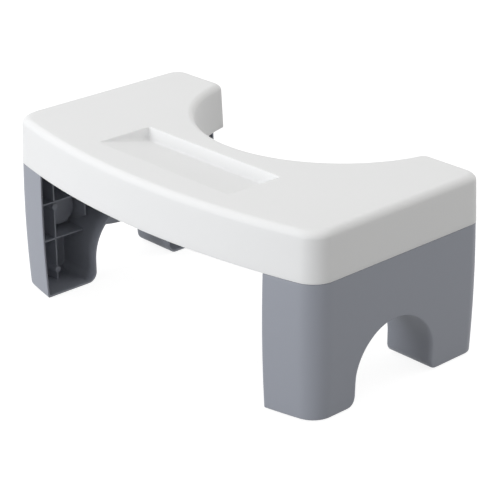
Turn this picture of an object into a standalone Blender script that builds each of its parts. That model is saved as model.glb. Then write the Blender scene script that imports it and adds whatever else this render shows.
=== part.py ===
"""Folding footstool: a white moulded top on two hollow grey legs that fold in under it.

Metres, +Z up. X runs along the length and +Y points to the edge with the round bay.
The origin is on the floor, under the middle of the footprint.
"""
from math import acos, atan2, cos, pi, radians, sin, sqrt

import bmesh
import bpy
from mathutils import Matrix, Vector

# Clearances
FIT_GAP = 0.0003  # between faces that rest on each other
PIN_CLEARANCE = 0.0002  # round a pin, on the radius
OVERRUN = 0.003  # how far a cutter reaches past what it cuts

# Top, at the lower edge of its skirt
TOP_LENGTH = 0.420
TOP_DEPTH = 0.2397
FRONT_BOW_RADIUS = 0.7975
FRONT_CORNER_RADIUS = 0.0244
BACK_CORNER_RADIUS = 0.0153
HORN_CORNER_RADIUS = 0.0090
BAY_RADIUS = 0.1391
BAY_CENTRE_OUT = 0.02515  # the bay's centre lies this far behind the back edge

# Top, upwards from the skirt
SKIRT_HEIGHT = 0.0466
TOP_WALL = 0.0025
TOP_DRAFT = 0.0020  # how far the skirt leans in over its height
TOP_EDGE_RADIUS = 0.0055

# Recess in the top, a wedge that deepens towards the bay
RECESS_LENGTH = 0.177
RECESS_DEPTH = 0.0122
RECESS_TIP_SHARE = 0.2982  # of the way from the front edge to the bay, where the wedge starts
RECESS_BOTTOM_SHARE = 0.7714
RECESS_BACK_SHARE = 0.8032

# Ribs under the top
TOP_RIB_THICKNESS = 0.002
TOP_RIB_DEPTH = 0.010  # down from the top face
TOP_RIB_PITCH_X = 0.040
TOP_RIB_PITCH_Y = 0.036

# Legs
LEG_HEIGHT = 0.1304
LEG_THICKNESS = 0.0535  # from the outer face to the open inner rim
LEG_INSET = 0.00045  # the skirt stands this proud of the leg
LEG_WALL = 0.0020
LEG_BULGE = 0.0012  # how far the walls swell between the leg's top and its foot
TUCK_FRONT = 0.0018  # how far the foot is drawn in at the front, the end and the back
TUCK_SIDE = 0.00085
TUCK_BACK = 0.00085
FOOT_EDGE_RADIUS = 0.002
ARCH_WIDTH = 0.0972
ARCH_HEIGHT = 0.0708
ARCH_FOOT_RADIUS = 0.0102
FRONT_FOOT_SHARE = 0.5495  # the front foot's share of the depth that the arch leaves
ARCH_WEB_HEIGHT = 0.055  # from the foot up to the web that closes the arch's crown
ARCH_WEB_SETBACK = 0.004  # the web lies this far inside the open rim

# Ribs and bosses inside the legs
LEG_RIB_THICKNESS = 0.0018
LEG_RIB_SETBACK = 0.026  # the ribs' free edges lie this far inside the open rim
LEG_SHELF_HEIGHT = 0.0470  # the lower level rib, above the foot
LEG_SHELF_PITCH = 0.0393
DISC_RADIUS = 0.0165
DISC_SETBACK = 0.016  # the disc's face lies this far behind the ribs' free edges
DISC_HEIGHT = 0.0695
BOSS_RADIUS = 0.0029
BOSS_PROUD = 0.0008
BOSS_LOW = 0.0133
BOSS_HIGH = 0.0817

# Hinges
HINGE_RISE = 0.008  # the axis lies this far above the skirt's lower edge
FOLD_GAP = 0.001  # left between the folded leg and the skirt
FRONT_HINGE_SETBACK = 0.0494  # from the front of the top
REAR_HINGE_SETBACK = 0.0373  # from the back edge
EYE_RADIUS = 0.0065
EAR_THICKNESS = 0.006
EAR_LENGTH = 0.021  # along the leg's top, outwards from its rim
EAR_ROOT = 0.014  # down inside the leg
EAR_HEEL = 0.0037  # down the rim, below the leg's top
CHEEK_THICKNESS = 0.0035
CHEEK_INBOARD = 0.010  # the cheek's root under the top, inboard of the axis
CHEEK_OUTBOARD = 0.028
PIN_RADIUS = 0.0025
PIN_HEAD_RADIUS = 0.0045
PIN_HEAD_THICKNESS = 0.0016
PIN_HEAD_ROUNDING = 0.0005
PIN_TIP = 0.0012  # past the washer
WASHER_RADIUS = 0.0050
WASHER_THICKNESS = 0.0010

# Foot pads
PAD_PROUD = 0.001
PAD_SUNK = 0.0008
PAD_MARGIN = 0.0045  # from the rim and from the leg's outer face
PAD_FRONT_MARGIN = 0.0060  # behind the bowed front, where the corner starts
PAD_SMALL_RADIUS = 0.003
PAD_EDGE = 0.0004  # chamfer round the standing face
GROOVE_WIDTH = 0.0012
GROOVE_DEPTH = 0.0004
GROOVE_PITCH = 0.0060

# Facets
BOW_STEPS = 10
CORNER_STEPS = 8
BAY_STEPS = 20
FILLET_STEPS = 4
LEG_STEPS = 8
ARCH_STEPS = 24
ROUND_STEPS = 24

# Places worked out from the sizes above
FRONT_Y = -TOP_DEPTH / 2
BACK_Y = TOP_DEPTH / 2
END_X = TOP_LENGTH / 2
FOOT_Z = PAD_PROUD
LEG_TOP_Z = FOOT_Z + LEG_HEIGHT
SKIRT_Z = LEG_TOP_Z + FIT_GAP
TOP_Z = SKIRT_Z + SKIRT_HEIGHT
RIM_X = END_X - LEG_INSET - LEG_THICKNESS
RIB_EDGE_X = RIM_X + LEG_RIB_SETBACK
HINGE_INBOARD = HINGE_RISE + FOLD_GAP
HINGE_X = RIM_X - HINGE_INBOARD
HINGE_Z = SKIRT_Z + HINGE_RISE
BAY_Y = BACK_Y + BAY_CENTRE_OUT - BAY_RADIUS
FEET_DEPTH = TOP_DEPTH - ARCH_WIDTH - 2 * ARCH_FOOT_RADIUS
ARCH_Y = FRONT_Y + FRONT_FOOT_SHARE * FEET_DEPTH + ARCH_FOOT_RADIUS + ARCH_WIDTH / 2
FRONT_HINGE_Y = FRONT_Y + FRONT_HINGE_SETBACK
REAR_HINGE_Y = BACK_Y - REAR_HINGE_SETBACK
FRONT_RIB_Y = (FRONT_HINGE_Y + ARCH_Y) / 2
REAR_RIB_Y = (ARCH_Y + REAR_HINGE_Y) / 2

WHITE_PLASTIC = ("white_plastic", (0.82, 0.83, 0.85), 0.45, 0.0)
GREY_PLASTIC = ("grey_plastic", (0.27, 0.30, 0.36), 0.50, 0.0)
STEEL = ("zinc_plated_steel", (0.62, 0.63, 0.64), 0.35, 1.0)
RUBBER = ("dark_rubber", (0.035, 0.037, 0.040), 0.85, 0.0)


def direction(angle):
    """A unit vector in a plane."""
    return Vector((cos(angle), sin(angle)))


def bearing(vector):
    """The angle of a vector in a plane."""
    return atan2(vector.y, vector.x)


def arc(centre, radius, start, end, steps, facing=1):
    """Places along an arc, each with the way out of the material: facing is -1 round a hollow."""
    angles = [start + (end - start) * i / steps for i in range(steps + 1)]
    return [(centre + direction(a) * radius, direction(a) * facing) for a in angles]


def front_bow(start_x):
    """The bowed front edge, from start_x to where the front corner begins, and that bearing."""
    centre = Vector((0, FRONT_Y + FRONT_BOW_RADIUS))
    corner = front_corner_centre()
    end = bearing(corner - centre)
    start = -acos(start_x / FRONT_BOW_RADIUS)
    steps = max(1, round(BOW_STEPS * (end - start) / (end + pi / 2)))
    return arc(centre, FRONT_BOW_RADIUS, start, end, steps), end


def front_corner_centre():
    """The centre of the front corner's arc, which touches the bow and the end."""
    x = END_X - FRONT_CORNER_RADIUS
    reach = FRONT_BOW_RADIUS - FRONT_CORNER_RADIUS
    return Vector((x, FRONT_Y + FRONT_BOW_RADIUS - sqrt(reach**2 - x**2)))


def outer_corners(bow_end):
    """The front corner and the back corner of the right end."""
    back_centre = Vector((END_X - BACK_CORNER_RADIUS, BACK_Y - BACK_CORNER_RADIUS))
    front = arc(front_corner_centre(), FRONT_CORNER_RADIUS, bow_end, 0, CORNER_STEPS)
    back = arc(back_centre, BACK_CORNER_RADIUS, 0, pi / 2, CORNER_STEPS)
    return front + back


def bay_edge():
    """The horn's inner corner and the bay, as far as the middle of the bay."""
    centre = Vector((0, BACK_Y + BAY_CENTRE_OUT))
    horn_y = BACK_Y - HORN_CORNER_RADIUS
    reach = BAY_RADIUS + HORN_CORNER_RADIUS
    horn_centre = Vector((sqrt(reach**2 - (centre.y - horn_y) ** 2), horn_y))
    start = bearing(horn_centre - centre)
    horn = arc(horn_centre, HORN_CORNER_RADIUS, pi / 2, start + pi, CORNER_STEPS)
    bay = arc(centre, BAY_RADIUS, start, -pi / 2, BAY_STEPS, facing=-1)
    return horn[:-1] + bay


def footprint():
    """The whole outline of the top, anticlockwise from the middle of the front."""
    bow, bow_end = front_bow(0)
    half = bow[:-1] + outer_corners(bow_end) + bay_edge()
    mirrored = [(Vector((-p.x, p.y)), Vector((-n.x, n.y))) for p, n in reversed(half[1:-1])]
    return half + mirrored


def top_ring(outline, inset, z):
    """The outline of the top moved in by inset, at height z."""
    return [Vector((p.x - n.x * inset, p.y - n.y * inset, z)) for p, n in outline]


def leg_outline():
    """The leg's share of the footprint, from its front rim round to its back rim."""
    bow, bow_end = front_bow(RIM_X)
    back_rim = (Vector((RIM_X, BACK_Y)), Vector((0, 1)))
    return bow[:-1] + outer_corners(bow_end) + [back_rim]


def leg_inset(z, tuck):
    """How far a wall stands in at height z: it swells out at mid height and tucks in at the foot."""
    below = (LEG_TOP_Z - z) / LEG_HEIGHT
    return LEG_INSET + tuck * below**2 - LEG_BULGE * 4 * below * (1 - below)


def leg_ring(outline, inset, z, rim_x):
    """The leg's outline moved in by inset at height z, with both ends held on the rim."""
    ring = []
    for p, n in outline:
        tuck_y = TUCK_FRONT if n.y < 0 else TUCK_BACK
        x = p.x - n.x * (inset + leg_inset(z, TUCK_SIDE))
        y = p.y - n.y * (inset + leg_inset(z, tuck_y))
        ring.append(Vector((x, y, z)))
    ring[0].x = rim_x
    ring[-1].x = rim_x
    return ring


def leg_levels(low_z, high_z):
    """Heights for a leg's rings, from low_z to high_z."""
    return [low_z + (high_z - low_z) * i / LEG_STEPS for i in range(LEG_STEPS + 1)]


def new_object(name, bm):
    """An object that holds the closed mesh bm, with its faces turned outwards."""
    bmesh.ops.recalc_face_normals(bm, faces=bm.faces)
    mesh = bpy.data.meshes.new(name)
    bm.to_mesh(mesh)
    bm.free()
    obj = bpy.data.objects.new(name, mesh)
    bpy.context.collection.objects.link(obj)
    return obj


def loft(name, rings, looped=False):
    """A solid through rings with equal counts, with end caps unless the rings close in a loop."""
    bm = bmesh.new()
    rows = [[bm.verts.new(place) for place in ring] for ring in rings]
    pairs = list(zip(rows, rows[1:] + rows[:1]))
    if not looped:
        pairs = pairs[:-1]
        bm.faces.new(list(reversed(rows[0])))
        bm.faces.new(rows[-1])
    for lower, upper in pairs:
        for i in range(len(lower)):
            j = (i + 1) % len(lower)
            bm.faces.new((lower[i], lower[j], upper[j], upper[i]))
    return new_object(name, bm)


def prism_x(name, outline, low, high):
    """A (y, z) outline drawn out along X."""
    return loft(name, [[Vector((x, p[0], p[1])) for p in outline] for x in (low, high)])


def prism_y(name, outline, low, high):
    """An (x, z) outline drawn out along Y."""
    return loft(name, [[Vector((p[0], y, p[1])) for p in outline] for y in (low, high)])


def block(name, low, high):
    """A box between two corners."""
    plan = [(low[0], low[1]), (high[0], low[1]), (high[0], high[1]), (low[0], high[1])]
    return loft(name, [[Vector((x, y, z)) for x, y in plan] for z in (low[2], high[2])])


def circle(centre, radius):
    """A circle's places, as (u, v)."""
    angles = [2 * pi * i / ROUND_STEPS for i in range(ROUND_STEPS)]
    return [(centre[0] + radius * cos(a), centre[1] + radius * sin(a)) for a in angles]


def turned(name, profile, looped=False):
    """A (radius, along) profile turned about the Y axis."""
    rings = [[Vector((u, along, v)) for u, v in circle((0, 0), radius)] for radius, along in profile]
    return loft(name, rings, looped)


def combine(target, operation, tools):
    """Boolean each tool into the target and delete the tools."""
    for tool in tools:
        modifier = target.modifiers.new(tool.name, "BOOLEAN")
        modifier.operation = operation
        modifier.solver = "EXACT"
        modifier.object = tool
    graph = bpy.context.evaluated_depsgraph_get()
    mesh = bpy.data.meshes.new_from_object(target.evaluated_get(graph))
    target.modifiers.clear()
    target.data = mesh
    for tool in tools:
        bpy.data.objects.remove(tool)
    return target


def material(finish):
    """The Principled material for one finish, made once."""
    name, colour, roughness, metallic = finish
    if name in bpy.data.materials:
        return bpy.data.materials[name]
    made = bpy.data.materials.new(name)
    made.use_nodes = True
    shader = made.node_tree.nodes["Principled BSDF"]
    shader.inputs["Base Color"].default_value = (*colour, 1)
    shader.inputs["Roughness"].default_value = roughness
    shader.inputs["Metallic"].default_value = metallic
    return made


def finish_piece(obj, finish, origin=(0, 0, 0)):
    """Name the mesh, set its material and put the object's origin where the piece turns or sits."""
    obj.data.name = obj.name
    obj.data.transform(Matrix.Translation(-Vector(origin)))
    obj.location = origin
    obj.data.materials.clear()
    obj.data.materials.append(material(finish))
    obj.data.shade_smooth()
    obj.data.set_sharp_from_angle(angle=radians(30))
    return obj


def tangent_bearing(point, radius, side):
    """The bearing on a circle about zero where the line from point touches it, on one side."""
    return bearing(point) + side * acos(radius / point.length)


def eye_outline(first, last, others):
    """An eye round the hinge axis, joined by tangents to first and last, as (x, z) places."""
    start = tangent_bearing(first, EYE_RADIUS, 1)
    end = tangent_bearing(last, EYE_RADIUS, -1)
    if end < start:
        end += 2 * pi
    eye = [place for place, _ in arc(Vector((0, 0)), EYE_RADIUS, start, end, CORNER_STEPS * 2)]
    loop = eye + [last] + others + [first]
    return [(HINGE_X + p.x, HINGE_Z + p.y) for p in loop]


# Top shell


def skirt_inset(z):
    """How far the skirt has leaned in at height z."""
    return TOP_DRAFT * (z - SKIRT_Z) / SKIRT_HEIGHT


def rounded_rings(outline, low_z, high_z, inset, radius):
    """Rings up the leaning skirt and over the rounded edge to high_z."""
    rings = [top_ring(outline, inset + skirt_inset(low_z), low_z)]
    for i in range(FILLET_STEPS + 1):
        angle = pi / 2 * i / FILLET_STEPS
        z = high_z - radius * (1 - sin(angle))
        rings.append(top_ring(outline, inset + skirt_inset(z) + radius * (1 - cos(angle)), z))
    return rings


def recess_profile(drop):
    """The recess's (y, z) triangle, whose sides run on past the top face by the overrun."""
    land = BAY_Y - FRONT_Y
    tip = FRONT_Y + RECESS_TIP_SHARE * land
    bottom = FRONT_Y + RECESS_BOTTOM_SHARE * land
    back = FRONT_Y + RECESS_BACK_SHARE * land
    slope = RECESS_DEPTH / (bottom - tip)
    lean = (back - bottom) / RECESS_DEPTH
    return [
        (tip - drop / slope, TOP_Z + drop),
        (bottom, TOP_Z - RECESS_DEPTH),
        (back + drop * lean, TOP_Z + drop),
    ]


def recess_tray():
    """The floor and walls that carry the recess under the top face."""
    front, bottom, back = recess_profile(-TOP_WALL / 2)
    front_y = front[0] - (TOP_WALL * (bottom[0] - front[0])) / RECESS_DEPTH
    outline = [
        (front_y, front[1]),
        (bottom[0], bottom[1] - TOP_WALL),
        (bottom[0] + TOP_WALL, bottom[1] - TOP_WALL),
        (back[0] + TOP_WALL, back[1]),
    ]
    reach = RECESS_LENGTH / 2 + TOP_WALL
    return prism_x("recess_tray", outline, -reach, reach)


def spread(limit, pitch):
    """Places at an even pitch about zero, as far as limit."""
    count = int(limit / pitch)
    return [pitch * i for i in range(-count, count + 1)]


def top_ribs(outline):
    """A grid of ribs under the top face, trimmed to the middle of the skirt's wall."""
    low_z = TOP_Z - TOP_RIB_DEPTH
    high_z = TOP_Z - TOP_WALL / 2
    half = TOP_RIB_THICKNESS / 2
    bars = []
    for x in spread(END_X, TOP_RIB_PITCH_X):
        bars.append(block("cross_rib", (x - half, FRONT_Y, low_z), (x + half, BACK_Y, high_z)))
    for y in spread(BACK_Y, TOP_RIB_PITCH_Y):
        bars.append(block("long_rib", (-END_X, y - half, low_z), (END_X, y + half, high_z)))
    grid = combine(bars[0], "UNION", bars[1:])
    inset = TOP_WALL / 2 + TOP_EDGE_RADIUS / 2
    rings = [top_ring(outline, inset, z) for z in (low_z - OVERRUN, high_z + OVERRUN)]
    return combine(grid, "INTERSECT", [loft("rib_trim", rings)])


def hinge_cheek(side, y):
    """One of the two plates that carry a pin, hanging from the top face."""
    root = TOP_Z - TOP_WALL / 2 - HINGE_Z
    outline = eye_outline(Vector((-CHEEK_INBOARD, root)), Vector((CHEEK_OUTBOARD, root)), [])
    outline = [(side * x, z) for x, z in outline]
    return prism_y("hinge_cheek", outline, y - CHEEK_THICKNESS / 2, y + CHEEK_THICKNESS / 2)


def hinge_cheeks():
    """The cheeks on both sides of every leg ear."""
    offset = EAR_THICKNESS / 2 + FIT_GAP + CHEEK_THICKNESS / 2
    places = [hinge + way * offset for hinge in (FRONT_HINGE_Y, REAR_HINGE_Y) for way in (-1, 1)]
    return [hinge_cheek(side, y) for side in (-1, 1) for y in places]


def pin_holes(side):
    """Cutters for the holes of one side's pins."""
    outline = circle((side * HINGE_X, HINGE_Z), PIN_RADIUS + PIN_CLEARANCE)
    reach = EAR_THICKNESS / 2 + FIT_GAP + CHEEK_THICKNESS + OVERRUN
    hinges = (FRONT_HINGE_Y, REAR_HINGE_Y)
    return [prism_y("pin_hole", outline, y - reach, y + reach) for y in hinges]


def build_top():
    """The white top: skirt, rounded edge, recess, ribs and hinge cheeks in one moulding."""
    outline = footprint()
    shell = loft("top_shell", rounded_rings(outline, SKIRT_Z, TOP_Z, 0, TOP_EDGE_RADIUS))
    under_z = TOP_Z - TOP_WALL
    inner_radius = TOP_EDGE_RADIUS - TOP_WALL
    hollow = rounded_rings(outline, SKIRT_Z - OVERRUN, under_z, TOP_WALL, inner_radius)
    combine(shell, "DIFFERENCE", [loft("hollow", hollow)])
    combine(shell, "UNION", [top_ribs(outline), recess_tray()] + hinge_cheeks())
    reach = RECESS_LENGTH / 2
    recess = prism_x("recess", recess_profile(OVERRUN), -reach, reach)
    combine(shell, "DIFFERENCE", [recess] + pin_holes(1) + pin_holes(-1))
    return finish_piece(shell, WHITE_PLASTIC)


# Legs


def arch_outline(inset):
    """The arch as (y, z), from one foot's rounded corner over to the other, moved in by inset."""
    radius = ARCH_WIDTH / 2
    corner_z = FOOT_Z + ARCH_FOOT_RADIUS
    crown = Vector((ARCH_Y, FOOT_Z + ARCH_HEIGHT - radius))
    offset = radius + ARCH_FOOT_RADIUS
    front = arc(Vector((ARCH_Y - offset, corner_z)), ARCH_FOOT_RADIUS, -pi / 2, 0, CORNER_STEPS)
    over = arc(crown, radius, pi, 0, ARCH_STEPS, facing=-1)
    back = arc(Vector((ARCH_Y + offset, corner_z)), ARCH_FOOT_RADIUS, pi, pi * 3 / 2, CORNER_STEPS)
    places = [place - out * inset for place, out in front + over + back]
    below = FOOT_Z - OVERRUN
    feet = [Vector((places[-1].x, below)), Vector((places[0].x, below))]
    return [(p.x, p.y) for p in places + feet]


def arch_cutter(inset):
    """The arch drawn out past both faces of the leg."""
    return prism_x("arch", arch_outline(inset), RIM_X - LEG_THICKNESS, END_X + OVERRUN)


def leg_block(outline):
    """The leg before it is hollowed, with its foot's edge rounded."""
    rings = []
    for i in range(FILLET_STEPS + 1):
        angle = pi / 2 * i / FILLET_STEPS
        z = FOOT_Z + FOOT_EDGE_RADIUS * (1 - cos(angle))
        rings.append(leg_ring(outline, FOOT_EDGE_RADIUS * (1 - sin(angle)), z, RIM_X))
    for z in leg_levels(FOOT_Z + FOOT_EDGE_RADIUS, LEG_TOP_Z)[1:]:
        rings.append(leg_ring(outline, 0, z, RIM_X))
    return loft("right_leg", rings)


def leg_core(name, outline, inset, rim_x):
    """The leg's inside, inset from every face but the open rim, and clear of the arch."""
    levels = leg_levels(FOOT_Z + inset, LEG_TOP_Z - inset)
    core = loft(name, [leg_ring(outline, inset, z, rim_x) for z in levels])
    return combine(core, "DIFFERENCE", [arch_cutter(inset)])


def leg_ribs(outline):
    """Upright and level ribs on the outer wall, with their bosses and a round disc."""
    half = LEG_RIB_THICKNESS / 2
    bars = []
    for y in (FRONT_HINGE_Y, FRONT_RIB_Y, REAR_RIB_Y, REAR_HINGE_Y):
        bars.append(block("upright_rib", (RIB_EDGE_X, y - half, 0), (END_X, y + half, LEG_TOP_Z)))
    for z in (FOOT_Z + LEG_SHELF_HEIGHT, FOOT_Z + LEG_SHELF_HEIGHT + LEG_SHELF_PITCH):
        bars.append(block("level_rib", (RIB_EDGE_X, FRONT_Y, z - half), (END_X, BACK_Y, z + half)))
    for y in (FRONT_HINGE_Y, REAR_HINGE_Y):
        for height in (BOSS_LOW, BOSS_HIGH):
            boss = circle((y, FOOT_Z + height), BOSS_RADIUS)
            bars.append(prism_x("boss", boss, RIB_EDGE_X - BOSS_PROUD, END_X))
    disc = circle(((FRONT_HINGE_Y + FRONT_RIB_Y) / 2, FOOT_Z + DISC_HEIGHT), DISC_RADIUS)
    bars.append(prism_x("disc", disc, RIB_EDGE_X + DISC_SETBACK, END_X))
    grid = combine(bars[0], "UNION", bars[1:])
    return combine(grid, "INTERSECT", [leg_core("rib_trim", outline, LEG_WALL / 2, RIM_X)])


def arch_web():
    """The web across the arch's crown, just inside the open rim."""
    half = ARCH_WIDTH / 2
    web_x = RIM_X + ARCH_WEB_SETBACK
    low = (web_x, ARCH_Y - half, FOOT_Z + ARCH_WEB_HEIGHT)
    high = (web_x + LEG_RIB_THICKNESS, ARCH_Y + half, FOOT_Z + ARCH_HEIGHT + LEG_WALL)
    return combine(block("arch_web", low, high), "INTERSECT", [arch_cutter(LEG_WALL / 2)])


def leg_ears():
    """The two ears that rise from the leg's top to the hinge axis, with their roots inside."""
    top = LEG_TOP_Z - HINGE_Z
    outer = HINGE_INBOARD + EAR_LENGTH
    heel = Vector((HINGE_INBOARD, top - EAR_HEEL))
    root = [Vector((HINGE_INBOARD, top - EAR_ROOT)), Vector((outer, top - EAR_ROOT))]
    outline = eye_outline(Vector((outer, top)), heel, root)
    half = EAR_THICKNESS / 2
    hinges = (FRONT_HINGE_Y, REAR_HINGE_Y)
    return [prism_y("hinge_ear", outline, y - half, y + half) for y in hinges]


def pad_corners(front_foot):
    """The pad's low and high (x, y) corners under one foot."""
    low_x = RIM_X + PAD_MARGIN
    high_x = END_X - LEG_INSET - TUCK_SIDE - PAD_MARGIN
    arch_side = ARCH_WIDTH / 2 + ARCH_FOOT_RADIUS + PAD_SMALL_RADIUS
    if front_foot:
        corner_y = front_corner_centre().y - FRONT_CORNER_RADIUS
        return (low_x, corner_y + PAD_FRONT_MARGIN), (high_x, ARCH_Y - arch_side)
    return (low_x, ARCH_Y + arch_side), (high_x, BACK_Y - LEG_INSET - TUCK_BACK - PAD_MARGIN)


def pad_outline(front_foot, grow):
    """The pad's outline with rounded corners, made larger by grow."""
    low, high = pad_corners(front_foot)
    small = PAD_SMALL_RADIUS
    large = (FRONT_CORNER_RADIUS if front_foot else BACK_CORNER_RADIUS) - PAD_MARGIN
    large = min(large, high[1] - low[1] - small)
    radii = (small, large, small, small) if front_foot else (small, small, large, small)
    xs = (low[0], high[0], high[0], low[0])
    ys = (low[1], low[1], high[1], high[1])
    signs = ((1, 1), (-1, 1), (-1, -1), (1, -1))
    outline = []
    for quarter in range(4):
        inwards = Vector(signs[quarter]) * radii[quarter]
        centre = Vector((xs[quarter], ys[quarter])) + inwards
        start = pi + quarter * pi / 2
        outline += arc(centre, radii[quarter] + grow, start, start + pi / 2, CORNER_STEPS)
    return [place for place, _ in outline]


def pad_solid(name, front_foot, levels):
    """A pad or its pocket, through (grow, z) levels."""
    rings = []
    for grow, z in levels:
        rings.append([Vector((p.x, p.y, z)) for p in pad_outline(front_foot, grow)])
    return loft(name, rings)


def pad_pockets():
    """Cutters for the shallow pockets that hold the pads."""
    levels = ((FIT_GAP, FOOT_Z - OVERRUN), (FIT_GAP, FOOT_Z + PAD_SUNK + FIT_GAP))
    return [pad_solid("pad_pocket", front_foot, levels) for front_foot in (True, False)]


def build_right_leg():
    """The right leg: an open moulding with an arch, ribs, hinge ears and pad pockets."""
    outline = leg_outline()
    leg = leg_block(outline)
    hollow = leg_core("hollow", outline, LEG_WALL, RIM_X - OVERRUN)
    combine(leg, "DIFFERENCE", [arch_cutter(0), hollow])
    combine(leg, "UNION", [leg_ribs(outline), arch_web()] + leg_ears())
    combine(leg, "DIFFERENCE", pin_holes(1) + pad_pockets())
    return finish_piece(leg, GREY_PLASTIC, (HINGE_X, 0, HINGE_Z))


def build_pad(name, front_foot):
    """A rubber pad sunk in the foot, with cross grooves in its standing face."""
    top_z = FOOT_Z + PAD_SUNK
    pad = pad_solid(name, front_foot, ((-PAD_EDGE, 0), (0, PAD_EDGE), (0, top_z)))
    low, high = pad_corners(front_foot)
    middle_y = (low[1] + high[1]) / 2
    count = int((high[1] - low[1]) / 2 / GROOVE_PITCH)
    grooves = []
    for i in range(-count, count):
        y = middle_y + GROOVE_PITCH * (i + 0.5)
        near = (low[0] - OVERRUN, y - GROOVE_WIDTH / 2, -OVERRUN)
        far = (high[0] + OVERRUN, y + GROOVE_WIDTH / 2, GROOVE_DEPTH)
        grooves.append(block("groove", near, far))
    combine(pad, "DIFFERENCE", grooves)
    centre = ((low[0] + high[0]) / 2, middle_y, 0)
    return finish_piece(pad, RUBBER, centre)


def mirror_piece(source, name):
    """A mirror image across the middle of the stool, with its own mesh."""
    mesh = source.data.copy()
    mesh.name = name
    mesh.transform(Matrix.Scale(-1, 4, Vector((1, 0, 0))))
    mesh.flip_normals()
    twin = bpy.data.objects.new(name, mesh)
    twin.location = (-source.location.x, source.location.y, source.location.z)
    bpy.context.collection.objects.link(twin)
    return twin


# Hinge pins


def pin_profile():
    """The pin as (radius, along Y): head first, then the shank."""
    seat = -(EAR_THICKNESS / 2 + FIT_GAP + CHEEK_THICKNESS + FIT_GAP)
    crown = seat - PIN_HEAD_THICKNESS
    end = -seat + WASHER_THICKNESS + PIN_TIP
    return [
        (PIN_HEAD_RADIUS - PIN_HEAD_ROUNDING, crown),
        (PIN_HEAD_RADIUS, crown + PIN_HEAD_ROUNDING),
        (PIN_HEAD_RADIUS, seat),
        (PIN_RADIUS, seat),
        (PIN_RADIUS, end - PIN_HEAD_ROUNDING),
        (PIN_RADIUS - PIN_HEAD_ROUNDING, end),
    ]


def washer_profile():
    """The washer's closed section as (radius, along Y)."""
    near = EAR_THICKNESS / 2 + FIT_GAP + CHEEK_THICKNESS + FIT_GAP
    far = near + WASHER_THICKNESS
    bore = PIN_RADIUS + PIN_CLEARANCE
    return [(bore, near), (WASHER_RADIUS, near), (WASHER_RADIUS, far), (bore, far)]


def place_hinge(side, side_name, hinge_y, end_name):
    """A pin and its washer at one hinge: the heads face the front and the back of the stool."""
    place = Matrix.Translation((side * HINGE_X, hinge_y, HINGE_Z))
    if end_name == "rear":
        place = place @ Matrix.Rotation(pi, 4, "Z")
    names = (f"{side_name}_{end_name}_hinge_pin", f"{side_name}_{end_name}_pin_washer")
    pin = finish_piece(turned(names[0], pin_profile()), STEEL)
    washer = finish_piece(turned(names[1], washer_profile(), looped=True), STEEL)
    pin.matrix_world = place
    washer.matrix_world = place


def main():
    for obj in list(bpy.data.objects):
        bpy.data.objects.remove(obj)
    build_top()
    mirror_piece(build_right_leg(), "left_leg")
    for end_name, front_foot in (("front", True), ("rear", False)):
        pad = build_pad(f"right_{end_name}_foot_pad", front_foot)
        mirror_piece(pad, f"left_{end_name}_foot_pad")
    for side, side_name in ((1, "right"), (-1, "left")):
        place_hinge(side, side_name, FRONT_HINGE_Y, "front")
        place_hinge(side, side_name, REAR_HINGE_Y, "rear")


main()
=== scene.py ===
# %% [markdown]
# # A folding footstool, dressed over its CAD frame
#
# The stool is a white moulded top on two hollow grey legs that fold in under it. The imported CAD
# model gives the sizes, the bodies and the joints. This lesson draws the visible surfaces as numpy
# grids, gives them procedural plastics and lights them like a plain studio shot.
# X runs along the stool, +Y points to the edge with the round bay, Z is up, lengths are in metres.

from math import radians

import bmesh
import bpy
import numpy as np
from mathutils import Matrix, Vector


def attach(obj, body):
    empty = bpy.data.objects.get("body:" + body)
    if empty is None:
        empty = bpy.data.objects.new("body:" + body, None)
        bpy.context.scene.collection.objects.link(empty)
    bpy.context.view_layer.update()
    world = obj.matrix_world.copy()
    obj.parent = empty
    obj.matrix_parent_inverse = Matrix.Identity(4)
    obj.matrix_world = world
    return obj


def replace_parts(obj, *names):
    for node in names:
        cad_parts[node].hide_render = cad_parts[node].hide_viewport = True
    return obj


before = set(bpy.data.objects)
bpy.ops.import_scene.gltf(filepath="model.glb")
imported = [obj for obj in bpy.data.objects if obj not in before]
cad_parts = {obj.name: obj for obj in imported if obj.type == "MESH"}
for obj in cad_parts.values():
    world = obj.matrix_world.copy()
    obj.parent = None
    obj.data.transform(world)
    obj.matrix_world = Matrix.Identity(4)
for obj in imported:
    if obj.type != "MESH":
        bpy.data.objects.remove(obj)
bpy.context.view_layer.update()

# %% [markdown]
# ## The camera
#
# A camera can be aimed by hand, but then it never quite meets the photograph. Here its place, its
# direction and its focal length were fitted to the outline of the stool. The two axes are the
# camera's right and its up, and their cross product points back, out of the picture.

# %% Set the camera
CAMERA_PLACE = Vector((1.188026, -1.071525, 0.774543))
CAMERA_RIGHT = Vector((0.68040448, 0.73281605, -0.00551234))
CAMERA_UP = Vector((-0.29130531, 0.27735774, 0.91554023))
CAMERA_LENS, SENSOR_WIDTH = 131.80, 36

camera_data = bpy.data.cameras.new("camera")
camera_data.sensor_width = SENSOR_WIDTH
camera_data.lens = CAMERA_LENS
camera = bpy.data.objects.new("camera", camera_data)
turn = Matrix((CAMERA_RIGHT, CAMERA_UP, CAMERA_RIGHT.cross(CAMERA_UP))).transposed()
camera.matrix_world = Matrix.Translation(CAMERA_PLACE) @ turn.to_4x4()
bpy.context.collection.objects.link(camera)
bpy.context.scene.camera = camera
print("camera looks along", -turn.col[2])

# %% [markdown]
# ## The lamps
#
# The stool stands in soft light, a little stronger from the front and the left. A sun would draw
# hard shadows, so four square area lights hang round it. Each was rendered alone, and the powers
# were then weighed against the photograph.

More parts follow.
